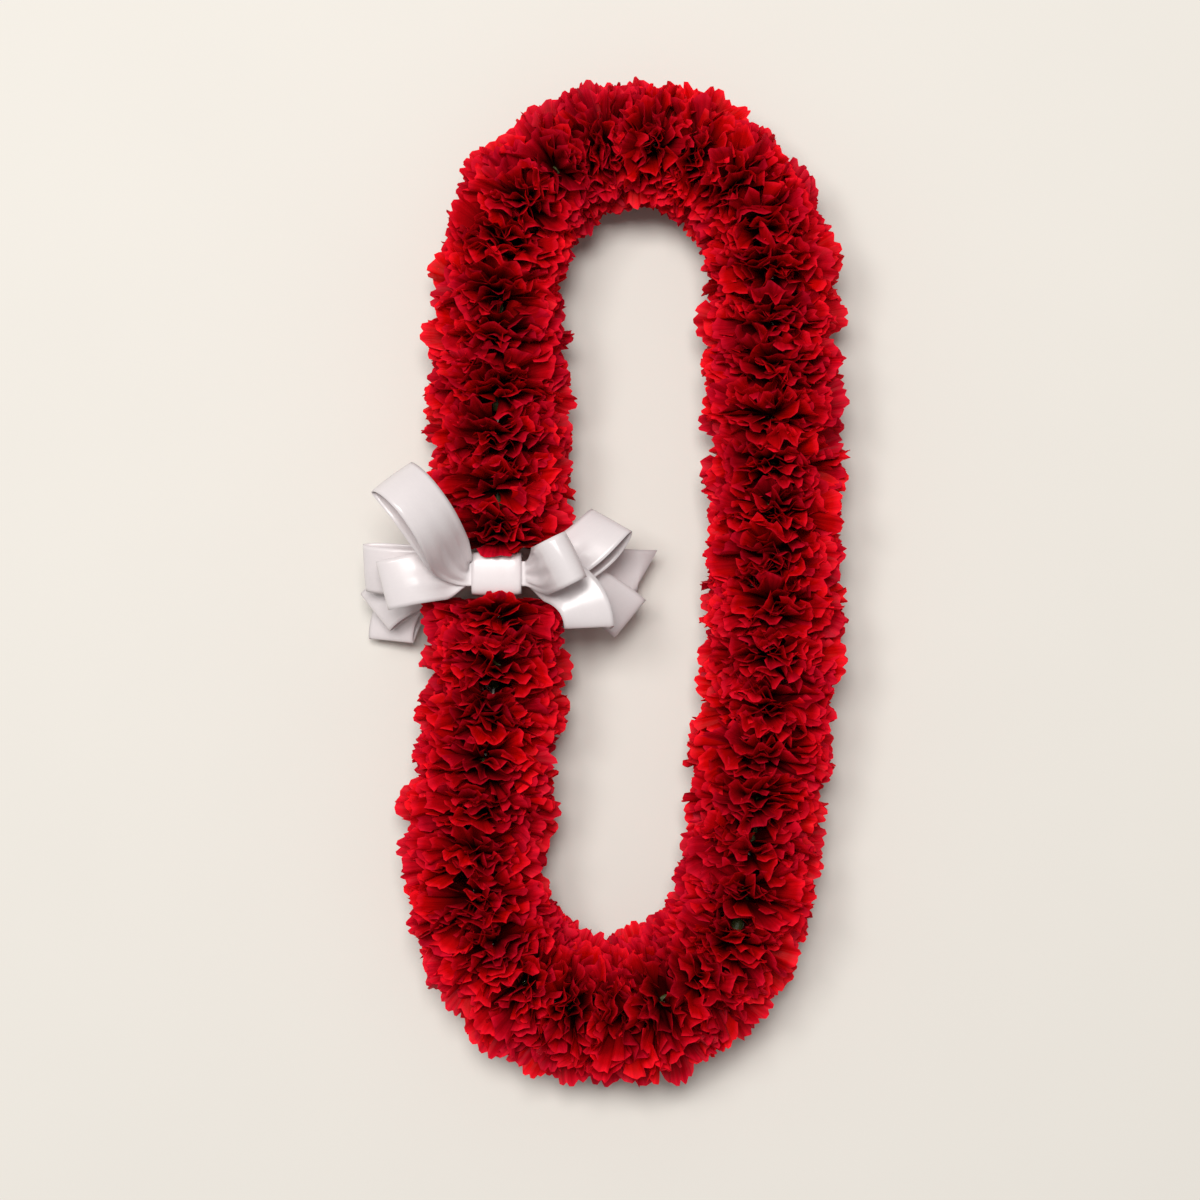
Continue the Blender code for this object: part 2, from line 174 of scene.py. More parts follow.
# Finishes.
PETAL_STOPS = (0.30, 0.86, 1.0)  # shares of its length with the painted shade, blade and painted highlight colours
RAYS_ACROSS, RAYS_ALONG = 13.0, 1.3  # of a petal's rays, over its whole width and length
RAYS_APART = 40.0  # how far each petal's pattern lies from the next one's
THREADS_ACROSS, THREADS_ALONG = 4200.0, 160.0  # of the satin, for each metre
SELVEDGE = 0.7 * MM
PETAL_THROUGH, SATIN_THROUGH = 0.30, 0.10  # shares of the light that come through

# The stage.
FLOOR_HALF = 4.0
VIEW_OFFSET = (-0.5 * MM, -7.9 * MM)  # from the middle of the lei to the middle of the view
VIEW_LEVEL = 35 * MM  # the height at which the view is as wide as its setting says
SKY_COLOUR = (1.0, 0.98, 0.95)
# Each light's name, place, size, share of the light power, and colour.
LIGHTS = (
    ("key", (-1.25, 0.8, 3.1), 1.0, 0.66, (1.0, 0.985, 0.965)),
    ("overhead", (-0.10, 0.85, 3.3), 1.1, 1.22, (1.0, 0.975, 0.955)),
)


class Loop(NamedTuple):
    """A loop or tail of the bow.

    side is -1 on the left and 1 on the right, and level is its place in the wrap, from below. Its
    line is drawn towards via and ends at tip. bulge is the gap between its two layers. All three are
    in millimetres. roll is the turn about its own line, in degrees.
    """

    name: str
    side: int
    level: float
    via: tuple
    tip: tuple
    bulge: float
    roll: float
    tail: bool = False


LOOPS = (
    Loop("bow_loop_left_upper", -1, 8.5, (-28, 29, 69), (-49, 45, 46), 14, 21),
    Loop("bow_loop_left_front", -1, 6.5, (-35, -1, 28), (-55, -6, 25), 10, -3),
    Loop("bow_loop_left_back", -1, 4.5, (-42, 2, 12), (-65, 3, 7), 8, -20),
    Loop("bow_loop_left_lower", -1, 2.5, (-44, -4, -5), (-61, -19, -9), 7, 11),
    Loop("bow_loop_left_hanging", -1, 0.5, (-50, -1, -24), (-54, -33, -20), 7, 20),
    Loop("bow_loop_right_front", 1, 8.5, (26, 3, 61), (38.5, 9, 46), 7, 0),
    Loop("bow_loop_right_lower", 1, 6.5, (44, -3, 33.5), (45, -26, 28.5), 6, -2),
    Loop("bow_loop_right_upper", 1, 4.5, (43.5, 5.5, 15), (56, 26, 13), 12, 22),
    Loop("bow_loop_right_back", 1, 2.5, (44, -4, -0.3), (65, -22, -5), 7, 3),
    Loop("bow_tail_right", 1, 0.5, (44, 2, -11), (72, 0, -17), 0, 0, tail=True),
)


# ---------- Settings


class LeiPetalSettings(bpy.types.PropertyGroup):
    """Sizes and colours of the flowers."""

    petals: bpy.props.IntProperty(
        name="Petals", description="Petals in each flower", default=84, min=12, max=120
    )
    width: bpy.props.FloatProperty(
        name="Petal width", description="Width of a middling petal at its margin",
        default=0.0205, unit="LENGTH",
    )
    tooth: bpy.props.FloatProperty(
        name="Tooth depth", description="Depth of the saw teeth along a petal's margin",
        default=0.0022, unit="LENGTH",
    )
    ruffle: bpy.props.FloatProperty(
        name="Ruffle", description="Height of the waves along a petal's margin",
        default=0.0023, unit="LENGTH",
    )
    # Painted shade: petals are darkened towards the cord, where they crowd together in shade.
    painted_shade_colour: bpy.props.FloatVectorProperty(
        name="Painted shade colour", description="Colour of a petal near the cord",
        default=(0.10, 0.0, 0.0006), subtype="COLOR", min=0, max=1,
    )
    blade_colour: bpy.props.FloatVectorProperty(
        name="Blade colour", description="Colour of a petal's blade",
        default=(0.62, 0.0010, 0.0065), subtype="COLOR", min=0, max=1,
    )
    # Painted highlight: petals are lightened along their margins, where edges catch the light.
    margin_highlight_colour: bpy.props.FloatVectorProperty(
        name="Margin highlight colour", description="Colour along a petal's margin",
        default=(0.93, 0.0085, 0.030), subtype="COLOR", min=0, max=1,
    )
    calyx_colour: bpy.props.FloatVectorProperty(
        name="Calyx colour", description="Colour of the green cup that holds the petals",
        default=(0.10, 0.115, 0.03), subtype="COLOR", min=0, max=1,
    )


class LeiRibbonSettings(bpy.types.PropertyGroup):
    """Size and colour of the ribbon and the cord."""

    width: bpy.props.FloatProperty(
        name="Ribbon width", description="Width of the satin ribbon", default=0.024, unit="LENGTH"
    )
    thickness: bpy.props.FloatProperty(
        name="Ribbon thickness", description="Thickness of the satin",
        default=0.00035, unit="LENGTH",
    )
    satin_colour: bpy.props.FloatVectorProperty(
        name="Satin colour", description="Colour of the ribbon",
        default=(0.84, 0.785, 0.795), subtype="COLOR", min=0, max=1,
    )
    cord_colour: bpy.props.FloatVectorProperty(
        name="Cord colour", description="Colour of the cotton cord",
        default=(0.72, 0.69, 0.60), subtype="COLOR", min=0, max=1,
    )


class LeiStageSettings(bpy.types.PropertyGroup):
    """The floor, the lights and the view."""

    view_width: bpy.props.FloatProperty(
        name="View width", description="Width that the camera sees at the strand's height",
        default=0.589, unit="LENGTH",
    )
    lens: bpy.props.FloatProperty(
        name="Lens", description="Focal length of the camera in millimetres",
        default=85, unit="CAMERA",
    )
    floor_colour: bpy.props.FloatVectorProperty(
        name="Floor colour", description="Colour of the pale floor",
        default=(0.79, 0.765, 0.715), subtype="COLOR", min=0, max=1,
    )
    key_power: bpy.props.FloatProperty(
        name="Light power", description="Power that the soft lights are set from",
        default=58, unit="POWER",
    )
    sky: bpy.props.FloatProperty(
        name="Room light", description="Strength of the even light from all round", default=0.24
    )


# ---------- Shapes


def smooth(x, start=0.0, end=1.0):
    """0 before start, 1 after end, and between them the cubic that leaves both levels flat."""
    x = np.clip((x - start) / (end - start), 0.0, 1.0)
    return x * x * (3 - 2 * x)


def held_above(x, limit, softness=CRUSH):
    """x where it is well above the limit; below it, it comes ever nearer the limit without passing.

    It is the limit plus the logarithm of one plus the exponential of the excess, in softness units.
    """
    return limit + softness * np.logaddexp(0.0, (x - limit) / softness)


def quads(grid):
    """The four-sided faces of a grid of vertex numbers, facing along row step x column step."""
    corners = (grid[:-1, :-1], grid[1:, :-1], grid[1:, 1:], grid[:-1, 1:])
    return np.stack(corners, axis=-1).reshape(-1, 4)


def ring(grid):
    """The grid with its first column repeated at its end, so that its rows close."""
    return np.concatenate([grid, grid[:, :1]], axis=1)


def make_mesh(name, points, faces, material, uv=None, tone=None, sharp=None):
    """An object of these vertices and faces, all its faces smooth.

    uv is a place for each vertex or for each face corner, and tone is a value for each vertex. An
    edge is sharp where both its ends are marked in sharp.
    """
    mesh = bpy.data.meshes.new(name)
    mesh.from_pydata(points.reshape(-1, 3), [], faces)
    mesh.shade_smooth()
    if uv is not None:
        layer = mesh.uv_layers.new(name="Surface")
        corners = uv if len(uv) == faces.size else uv[faces.ravel()]
        layer.data.foreach_set("uv", corners.astype(np.float32).ravel())
    if tone is not None:
        values = mesh.attributes.new("tone", "FLOAT", "POINT").data
        values.foreach_set("value", tone.astype(np.float32))
    if sharp is not None:
        ends = np.empty(len(mesh.edges) * 2, np.int32)
        mesh.edges.foreach_get("vertices", ends)
        edge = sharp[ends.reshape(-1, 2)].all(axis=1)
        mesh.attributes.new("sharp_edge", "BOOLEAN", "EDGE").data.foreach_set("value", edge)
    mesh.materials.append(material)
    made = bpy.data.objects.new(name, mesh)
    bpy.context.scene.collection.objects.link(made)
    return made


def settle(piece, slot, *nodes):
    """Joins a finished piece to the frame, in place of any CAD nodes that it stands for."""
    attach(piece, "root")
    if nodes:
        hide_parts(*nodes)


class Strand:
    """The cord's closed line, read from the frame: a smooth curve through the bow and every flower.

    Each stretch between two neighbours is the usual cubic whose slope at a point is half the step
    from the point before it to the point after it.
    """

    def __init__(self):
        low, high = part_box("bow_tie")
        cord_low, cord_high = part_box("cord")
        self.bow = np.array([(low.x + high.x) / 2, (low.y + high.y) / 2])
        self.height = (cord_low.z + cord_high.z) / 2
        self.solids = [self.vertices(name) for name in FLOWERS]
        knots = np.array([self.bow] + [solid[:, :2].mean(axis=0) for solid in self.solids])
        count = len(knots)
        step = np.arange(count * LINE_STEPS + 1) / LINE_STEPS
        which, t = np.floor(step).astype(int), (step % 1)[:, None]
        before, here, after, beyond = (knots[(which + k) % count] for k in (-1, 0, 1, 2))
        bend = 2 * before - 5 * here + 4 * after - beyond
        twist = 3 * here - before - 3 * after + beyond
        self.points = here + (after - before) * t / 2 + bend * t**2 / 2 + twist * t**3 / 2
        steps = np.linalg.norm(np.diff(self.points, axis=0), axis=1)
        self.lengths = np.concatenate([[0], np.cumsum(steps)])
        self.total = self.lengths[-1]
        self.places = self.lengths[LINE_STEPS : count * LINE_STEPS : LINE_STEPS]
        self.pitch = (self.places[-1] - self.places[0]) / (len(FLOWERS) - 1)

    @staticmethod
    def vertices(name):
        """The vertices of a CAD node's mesh, one in each row."""
        mesh = NODES[name].data
        flat = np.empty(len(mesh.vertices) * 3, np.float32)
        mesh.vertices.foreach_get("co", flat)
        return flat.reshape(-1, 3)

    def at(self, length):
        """The cord's place at each length along it, and the level directions along and outwards."""

        def place(where):
            where = np.mod(where, self.total)
            ways = [np.interp(where, self.lengths, self.points[:, k]) for k in (0, 1)]
            return np.stack(ways, axis=-1)

        along = place(length + SLOPE_STEP) - place(length - SLOPE_STEP)
        along /= np.linalg.norm(along, axis=-1, keepdims=True)
        return place(length), along, np.stack([-along[..., 1], along[..., 0]], axis=-1)

    def points_at(self, length, out, up, ahead=0.0):
        """Points at lengths along the cord, set off outwards, up, and straight ahead from there."""
        place, along, outwards = self.at(length)
        level = place + outwards * np.asarray(out)[..., None] + along * np.asarray(ahead)[..., None]
        height = self.height + np.broadcast_to(up, level.shape[:-1])
        return np.concatenate([level, height[..., None]], axis=-1)

    def radius(self, index):
        """Half the width of a flower's solid, across the strand."""
        _, _, outwards = self.at(self.places[index])
        level = self.solids[index][:, :2]
        across = (level - level.mean(axis=0)) @ outwards
        return (across.max() - across.min()) / 2


# ---------- Flowers


def leaf_template(rows, columns):
    """Faces and rim marks of a thin closed leaf: two grids that share their outer ring."""
    top = np.arange(rows * columns).reshape(rows, columns)
    under = top.copy()
    under[1:-1, 1:-1] = rows * columns + np.arange((rows - 2) * (columns - 2)).reshape(rows - 2, -1)
    rim = np.ones(under.max() + 1, bool)
    rim[top[1:-1, 1:-1]] = False
    rim[under[1:-1, 1:-1]] = False
    return np.concatenate([quads(top), quads(under)[:, ::-1]]), rim


def petal_outline(rng, count, length, width, tooth):
    """Places along and across each flat petal, before it is bent.

    The blade widens from a narrow claw as a power of the way along it. Its far corners fall back as
    the square of the way along and as a power of the way across. A notch at every third column cuts
    its margin into lobes.
    """
    v = PETAL_ROWS[None, :, None]
    u = np.linspace(-1, 1, PETAL_COLUMNS)[None, None, :]
    widened = v ** rng.uniform(*WIDENING, (count, 1, 1))
    half = CLAW_HALF_WIDTH + (width / 2 - CLAW_HALF_WIDTH) * widened
    corner_drop = rng.uniform(*CORNER_DROP, (count, 1, 1)) * np.abs(u) ** CORNER_POWER * v**2
    deep = np.where(np.arange(PETAL_COLUMNS) % LOBE_COLUMNS == 0, 1.0, 0.0)
    notch = tooth * deep * rng.uniform(*NOTCH_DEPTH, (count, PETAL_COLUMNS))
    far = length * (v - corner_drop) - notch[:, None, :] * (v >= 1)
    uneven = rng.uniform(-COLUMN_SHIFT, COLUMN_SHIFT, (count, PETAL_COLUMNS))[:, None, :]
    side = half * (u + uneven * 2 / PETAL_COLUMNS * (np.abs(u) < 1))
    return u, v, far, side


def petal_relief(rng, count, u, v, ruffle):
    """How far each place stands off its flat petal.

    Sine waves across the blade that grow towards the margin, finer ones only along the margin, a
    cup that grows as the square of the way across, a fold along the middle, and a bend that grows
    as the square of the way along.
    """

    def spread(low, high):
        return rng.uniform(low, high, (count, 1, 1))

    def chance(size):
        return rng.normal(0, size, (count, 1, 1))

    waves, turn = spread(*WAVES), spread(0, 2 * math.pi)
    broad = spread(*WAVE_SIZE) * v**1.6 * np.sin(math.pi * waves * u + turn)
    fine = spread(*FINE_SIZE) * v**4 * np.sin(math.pi * waves * FINE_WAVES * u + FINE_WAVES * turn)
    cup = chance(CUP) * u**2 * v
    fold = np.where(spread(0, 1) < FOLDED_SHARE, spread(-FOLD, FOLD) * MM, 0.0) * np.abs(u) * v
    bend = chance(BEND) * v**2
    return ruffle * (broad + fine) + cup + fold + bend


def flowers_to_bow(index):
    """How many flowers stand between this one and the bow."""
    return min(index, len(FLOWERS) - 1 - index)


def roof_over(index, out):
    """How high a flower's petals may rise at a distance out from the cord, under any ribbons."""
    roof = ROOFS.get(flowers_to_bow(index), np.inf)
    return roof + OPEN_RISE * (1 - smooth(np.abs(out), *OPEN_STRIP))


def stand_petals(strand, index, settings, rng):
    """How each petal of one flower stands: its angle, start, lean, length, twist and width.

    Petals leave the cord at steady turns, and lean towards steady stations along the flower, so
    that together they cover it evenly. They lie in three layers. The outer one reaches the flower's
    outline, which is a circle with sine waves round it.
    """
    count, radius = settings.petals, strand.radius(index)
    order = np.arange(count)
    scatter = rng.normal(0, ANGLE_SCATTER, count)
    angle = 2 * math.pi * EVEN_STEPS[0] * order + scatter + index * FLOWER_TURN
    station = 2 * ((order * EVEN_STEPS[1] + rng.uniform(0, 1)) % 1.0) - 1
    layer = rng.uniform(0, 1, count)
    outer, middle = rng.uniform(*OUTER_REACH, count), rng.uniform(*MIDDLE_REACH, count)
    share = np.where(layer < OUTER_TO, outer, middle)
    share = np.where(layer > INNER_FROM, rng.uniform(*INNER_REACH, count), share)
    turn = rng.uniform(0, 2 * math.pi, 2)
    outline = 1 + LUMPS[0] * np.sin(2 * angle + turn[0]) + LUMPS[1] * np.sin(3 * angle + turn[1])
    reach = radius * np.minimum(share * outline, OUTER_REACH[1]) * (1 - ROUNDED * station**2)
    rise = np.sin(angle)
    to_floor = (strand.height - 2 * FLOOR_CLEARANCE) / np.maximum(-rise, TINY)
    to_roof = roof_over(index, radius * np.cos(angle)) * rng.uniform(*ROOF_UNEVEN, count)
    reach = np.minimum(np.minimum(reach, to_floor), to_roof / np.maximum(rise, TINY))
    start = station * strand.pitch * START_SPREAD
    ahead = station * strand.pitch * AHEAD_SPREAD + rng.normal(0, AHEAD_SCATTER, count)
    lean = np.arctan2(ahead, reach - BASE_REACH)
    length = (reach - BASE_REACH) / np.cos(lean)
    flat_share = FLAT_ANYWHERE + FLAT_AT_SIDES * smooth(1 - np.abs(rise), *FLAT_FROM)
    flat_on = rng.uniform(0, 1, count) < flat_share
    sign = np.where(rng.uniform(0, 1, count) < 0.5, -1, 1)
    flat_twist, slight_twist = rng.uniform(*FLAT_TWIST, count), rng.normal(0, SLIGHT_TWIST, count)
    twist = np.where(flat_on, sign * flat_twist, slight_twist)
    width = settings.width * rng.uniform(*WIDTH_SPREAD, count)
    return [values.reshape(count, 1, 1) for values in (angle, start, lean, length, twist, width)]


def clear_of_bow(strand, index, along, out, up, ahead):
    """How far ahead points stand, once a flower next to the bow is held back from it.

    The edge that they keep to slopes away from the bow in step with their distance from the cord,
    and comes back over the top of the wrap.
    """
    rise = smooth(up / strand.radius(index), *BOW_GAP_RISE)
    slope = BOW_GAP_SLOPE * np.hypot(out, up) * rise
    over_wrap = smooth(up, *WRAP_SHOULDER) * (1 - smooth(np.abs(out), *WRAP_SIDE))
    edge = BOW_HALF_GAP + slope - WRAP_OVERHANG * over_wrap
    side_of_bow = 1 if index == 0 else -1
    to_bow = strand.places[0] if index == 0 else strand.total - strand.places[index]
    reached = to_bow + side_of_bow * (along + ahead)
    return ahead + side_of_bow * (held_above(reached, edge, BOW_CRUSH) - reached)


def petal_points(strand, index, settings, rng):
    """The points of the upper and the lower faces of one flower's petals, as (petal, row, column).

    Each petal is twisted about its own length, leans, and is turned to its angle. It is laid round
    the cord's bend by its middle line, so that petals spread outside a bend and crowd inside it.
    """
    count = settings.petals
    angle, start, lean, length, twist, width = stand_petals(strand, index, settings, rng)
    u, v, far, side = petal_outline(rng, count, length, width, settings.tooth)
    relief = petal_relief(rng, count, u, v, settings.ruffle)
    side = side + rng.normal(0, SKEW, (count, 1, 1)) * v**2

    def laid(off):
        round_cord = side * np.cos(twist) - off * np.sin(twist)
        over = side * np.sin(twist) + off * np.cos(twist)
        from_cord = BASE_REACH + far * np.cos(lean) - over * np.sin(lean)
        out = from_cord * np.cos(angle) - round_cord * np.sin(angle)
        up = from_cord * np.sin(angle) + round_cord * np.cos(angle)
        up = held_above(up, -strand.height + FLOOR_CLEARANCE)
        if flowers_to_bow(index) in ROOFS:
            up = -held_above(-up, -roof_over(index, out))
        along = start + far * np.sin(lean)
        ahead = over * np.cos(lean)
        if flowers_to_bow(index) == 0:
            ahead = clear_of_bow(strand, index, along, out, up, ahead)
        return strand.points_at(strand.places[index] + along, out, up, ahead)

    return laid(relief + PETAL_THICKNESS / 2), laid(relief - PETAL_THICKNESS / 2)


def make_petals(strand, index, settings, material):
    """One flower's petals, each a thin closed leaf, as one piece."""
    rng = np.random.default_rng(FLOWER_SEED + index)
    count, rows = settings.petals, len(PETAL_ROWS)
    faces, rim = leaf_template(rows, PETAL_COLUMNS)
    upper, lower = petal_points(strand, index, settings, rng)
    middle = (upper + lower) / 2
    ends = np.zeros((rows, PETAL_COLUMNS), bool)
    ends[[0, -1]] = True
    ends[:, [0, -1]] = True
    upper = np.where(ends[None, :, :, None], middle, upper)
    points = np.concatenate(
        [upper.reshape(count, -1, 3), lower[:, 1:-1, 1:-1].reshape(count, -1, 3)], axis=1
    )
    share = np.linspace(0, 1, PETAL_COLUMNS)
    flat = np.stack(np.broadcast_arrays(share[None, :], PETAL_ROWS[:, None]), axis=-1)
    flat = np.concatenate([flat.reshape(-1, 2), flat[1:-1, 1:-1].reshape(-1, 2)])
    all_faces = (faces[None] + (np.arange(count) * len(rim))[:, None, None]).reshape(-1, 4)
    tone = np.repeat(rng.uniform(0, 1, count), len(rim))
    name = f"{FLOWERS[index]}_petals"
    petals = make_mesh(
        name, points, all_faces, material, np.tile(flat, (count, 1)), tone, np.tile(rim, count)
    )
    settle(petals, "petals", FLOWERS[index])


def make_calyx(strand, index, material):
    """The green cup round the cord under one flower: a fluted tube whose far edge has five points.

    Its wall is a closed profile carried round the cord. Its points rise and fall as a power of half
    of one plus the cosine of five times the angle.
    """
    angle = np.arange(CALYX_SIDES) * 2 * math.pi / CALYX_SIDES
    point = (0.5 + 0.5 * np.cos(CALYX_POINTS * angle)) ** 1.5
    along, out, up = [], [], []
    for reach, share, flare, tip in CALYX_PROFILE:
        distance = (reach + flare * point) * MM
        along.append(strand.places[index] + share * strand.pitch + tip * point * MM)
        out.append(distance * np.cos(angle))
        up.append(distance * np.sin(angle))
    points = strand.points_at(np.array(along), np.array(out), np.array(up))
    grid = np.arange(len(CALYX_PROFILE) * CALYX_SIDES).reshape(-1, CALYX_SIDES)
    faces = quads(np.concatenate([ring(grid), ring(grid)[:1]]))[:, ::-1]
    calyx = make_mesh(f"{FLOWERS[index]}_calyx", points, faces, material)
    settle(calyx, "petals")


# ---------- Ribbon


def spine_of(loop, share):
    """The middle line of a loop: level out of the wrap, and then a curve to its tip.

    The curve is a cubic Bezier, drawn towards a point ahead of the mouth and then towards via.
    """
    level = FIRST_LEVEL + loop.level * LEVEL_STEP
    start = np.array([loop.side * INNER_END, 0, level])
    mouth = np.array([loop.side * (WRAP_HALF_LENGTH + MOUTH_GAP), 0, level])
    ahead = mouth + np.array([loop.side * MOUTH_RUN, 0, (loop.level - MIDDLE_LEVEL) * FAN])
    via, tip = np.array(loop.via) * MM, np.array(loop.tip) * MM
    t = np.clip((share - MOUTH_SHARE) / (1 - MOUTH_SHARE), 0, 1)[:, None]
    left = 1 - t
    curve = left**3 * mouth + 3 * left**2 * t * ahead + 3 * left * t**2 * via + t**3 * tip
    straight = start + (mouth - start) * (share / MOUTH_SHARE)[:, None]
    return np.where((share < MOUTH_SHARE)[:, None], straight, curve)


def ribbon_frame(loop, share):
    """Across and thickness directions of a loop, at each share of its way to the tip.

    Across is level and square to the line, turned about it by the roll, which sets in smoothly.
    """
    step = 0.01
    back, front = np.clip(share - step, 0, 1), np.clip(share + step, 0, 1)
    along = spine_of(loop, front) - spine_of(loop, back)
    along /= np.linalg.norm(along, axis=1, keepdims=True)
    level = np.stack([-along[:, 1], along[:, 0], 0 * share], axis=1) * loop.side
    level /= np.linalg.norm(level, axis=1, keepdims=True)
    upright = np.cross(along, level) * loop.side
    roll = np.radians(loop.roll) * smooth(share, MOUTH_SHARE, ROLLED_SHARE)[:, None]
    across = np.cos(roll) * level - np.sin(roll) * upright
    thick = np.cos(roll) * upright + np.sin(roll) * level
    return across, thick


def loop_surface(loop, ribbon_width, steps, strips, rng):
    """A loop's grid of points, and the length of its middle line.

    It runs out on the upper layer, turns back round half an ellipse, and returns on the lower. The
    ribbon is crowned as the square of the way across it. Pleats ripple it as a cosine that fades
    away from the wrap, and it wanders as a sine of the way along and across.
    """
    if loop.tail:
        share, rise, upper = np.linspace(0, 1, steps), np.zeros(steps), np.ones(steps)
    else:
        leg = 1 - np.abs(np.linspace(-1, 1, steps))
        upper = np.where(np.arange(steps) * 2 < steps, 1.0, -1.0)
        swing = np.clip((leg - TURN_SHARE) / (1 - TURN_SHARE), 0, 1) * math.pi / 2
        share = np.where(leg < TURN_SHARE, leg, TURN_SHARE + (1 - TURN_SHARE) * np.sin(swing))
        layer, full = LEVEL_STEP / 2, loop.bulge * MM / 2
        rise = (layer + (full - layer) * smooth(share, *SWELL_SHARES)) * np.cos(swing) * upper
    across, thick = ribbon_frame(loop, share)
    centre = spine_of(loop, share) + thick * rise[:, None]
    gather = GATHERED_SHARE + (1 - GATHERED_SHARE) * smooth(share, MOUTH_SHARE, FULL_WIDTH_SHARE)
    half = across * (ribbon_width / 2 * gather)[:, None]

    side = np.linspace(-1, 1, strips)[None, :]
    share = share[:, None]
    growing = smooth(share, MOUTH_SHARE, MOUTH_SHARE + PLEAT_GROWTH)
    fading = growing * (1 - smooth(share, *PLEAT_FADE))
    waves = math.pi * rng.uniform(*PLEAT_COUNT) * side + rng.uniform(0, ANY_TURN)
    pleats = PLEAT_HEIGHT * fading * np.cos(waves)
    crown = CROWN_HEIGHT * smooth(share, *CROWN_SHARES) * (CROWN_LEVEL - side**2) * upper[:, None]
    swell = WANDER_ALONG * share + WANDER_ACROSS * side + rng.uniform(0, ANY_TURN)
    wander = WANDER_HEIGHT * smooth(share, *WANDER_SHARES) * np.sin(swell)
    left = 1 - WANDER_LOSS * smooth(share, LOSS_FROM, 1)
    points = centre[:, None] + half[:, None] * side[..., None]
    points = points + thick[:, None] * (pleats + crown + wander * left)[..., None]
    if loop.tail:
        points[-1] += (TAIL_SLANT * side[0])[:, None] * np.array([loop.side, 0, 0])
    length = np.linalg.norm(np.diff(centre, axis=0), axis=1).sum()
    return points, length


def thicken(piece, thickness):
    """Gives a sheet its thickness, half on either side, with its rim closed."""
    wall = piece.modifiers.new("Thickness", "SOLIDIFY")
    wall.thickness = thickness
    wall.offset = 0
    wall.use_even_offset = True


def ribbon_uv(rows, columns, width, length):
    """A place on the flat ribbon, in metres, for each point of a grid whose rows run across it."""
    ways = np.linspace(0, length, rows), np.linspace(0, width, columns)
    down, side = np.meshgrid(*ways, indexing="ij")
    return np.stack([side, down], axis=-1).reshape(-1, 2)


def make_loop(strand, loop, settings, material, order):
    """One loop or tail of the bow, as a strip of ribbon."""
    steps, strips = TAIL_STEPS if loop.tail else LOOP_STEPS, RIBBON_STRIPS
    rng = np.random.default_rng(BOW_SEED + order)
    points, length = loop_surface(loop, settings.width, steps, strips, rng)
    points = points + np.array([*strand.bow, strand.height])
    grid = np.arange(steps * strips).reshape(steps, strips)
    uv = ribbon_uv(steps, strips, settings.width, length)
    piece = make_mesh(f"{loop.name}_ribbon", points, quads(grid), material, uv)
    thicken(piece, settings.thickness)
    settle(piece, "satin", loop.name)


def make_band(strand, node, points, width, settings, material, inwards=False):
    """A closed band of ribbon, and its length round. Each row of points goes once round it.

    inwards says that their order would turn its faces inwards. Its map is cut where it closes.
    """
    strips, sides = points.shape[:2]
    points = points + np.array([*strand.bow, strand.height])
    length = np.linalg.norm(np.diff(ring(points)[strips // 2], axis=0), axis=1).sum()
    faces = quads(ring(np.arange(strips * sides).reshape(strips, sides)))
    places = ribbon_uv(sides + 1, strips, width, length).reshape(sides + 1, strips, 2)
    places = places.transpose(1, 0, 2).reshape(-1, 2)
    corners = places[quads(np.arange(len(places)).reshape(strips, sides + 1))]
    if inwards:
        faces, corners = faces[:, ::-1], corners[:, ::-1]
    piece = make_mesh(f"{node}_ribbon", points, faces, material, corners.reshape(-1, 2))
    thicken(piece, settings.thickness)
    settle(piece, "satin", node)
    return piece, length


def make_wrap(strand, settings, material):
    """The short ribbon bound round the bow's waist.

    It is a superellipse round the waist, wider above. Along the waist the band is drawn in a little
    at both edges, by the fourth power, and soft creases run round it as a cosine.
    """
    strips, sides = 15, 72
    angle = np.arange(sides) * 2 * math.pi / sides
    share = np.linspace(-1, 1, strips)[:, None]
    wide, high = WRAP_SQUARENESS
    crease = np.cos(math.pi * CREASES * share + CREASE_SLANT * np.sin(angle)) * (1 - share**2)
    proud = CAD_RIBBON_THICKNESS / 2 + CREASE_DEPTH * crease - WRAP_DRAWN_IN * share**4
    width = WRAP_HALF_WIDTH + WRAP_TOP_GAIN * np.sin(angle)
    reach = width * np.abs(np.cos(angle)) ** wide + proud
    top = (WRAP_HALF_HEIGHT + proud) * np.abs(np.sin(angle)) ** high
    points = np.empty((strips, sides, 3))
    points[..., 0] = share * WRAP_HALF_LENGTH
    points[..., 1] = reach * np.sign(np.cos(angle))
    points[..., 2] = WRAP_CENTRE_Z + top * np.sign(np.sin(angle))
    piece, loop = make_band(strand, "bow_wrap", points, settings.width, settings, material)


def make_tie(strand, settings, material):
    """The ribbon's own turn round the cord, narrow and rolled.

    It is a superellipse, carried across the ribbon's width, which ripples it as a cosine.
    """
    strips, sides = 9, 56
    angle = np.arange(sides) * 2 * math.pi / sides
    share = np.linspace(-1, 1, strips)[:, None]
    middle, half = (TIE_LOW + TIE_HIGH) / 2, (TIE_HIGH - TIE_LOW) / 2
    ripple = TIE_RIPPLE * np.cos(math.pi * TIE_RIPPLES * share)
    level = np.abs(np.cos(angle)) ** TIE_SQUARENESS * np.sign(np.cos(angle))
    upright = np.abs(np.sin(angle)) ** TIE_SQUARENESS * np.sign(np.sin(angle))
    points = np.empty((strips, sides, 3))
    points[..., 0] = (TIE_HALF_LENGTH + ripple) * level
    points[..., 1] = share * TIE_HALF_WIDTH
    points[..., 2] = middle + (half + ripple) * upright
    piece, loop = make_band(
        strand, "bow_tie", points, 2 * TIE_HALF_WIDTH, settings, material, inwards=True
    )


# ---------- Materials


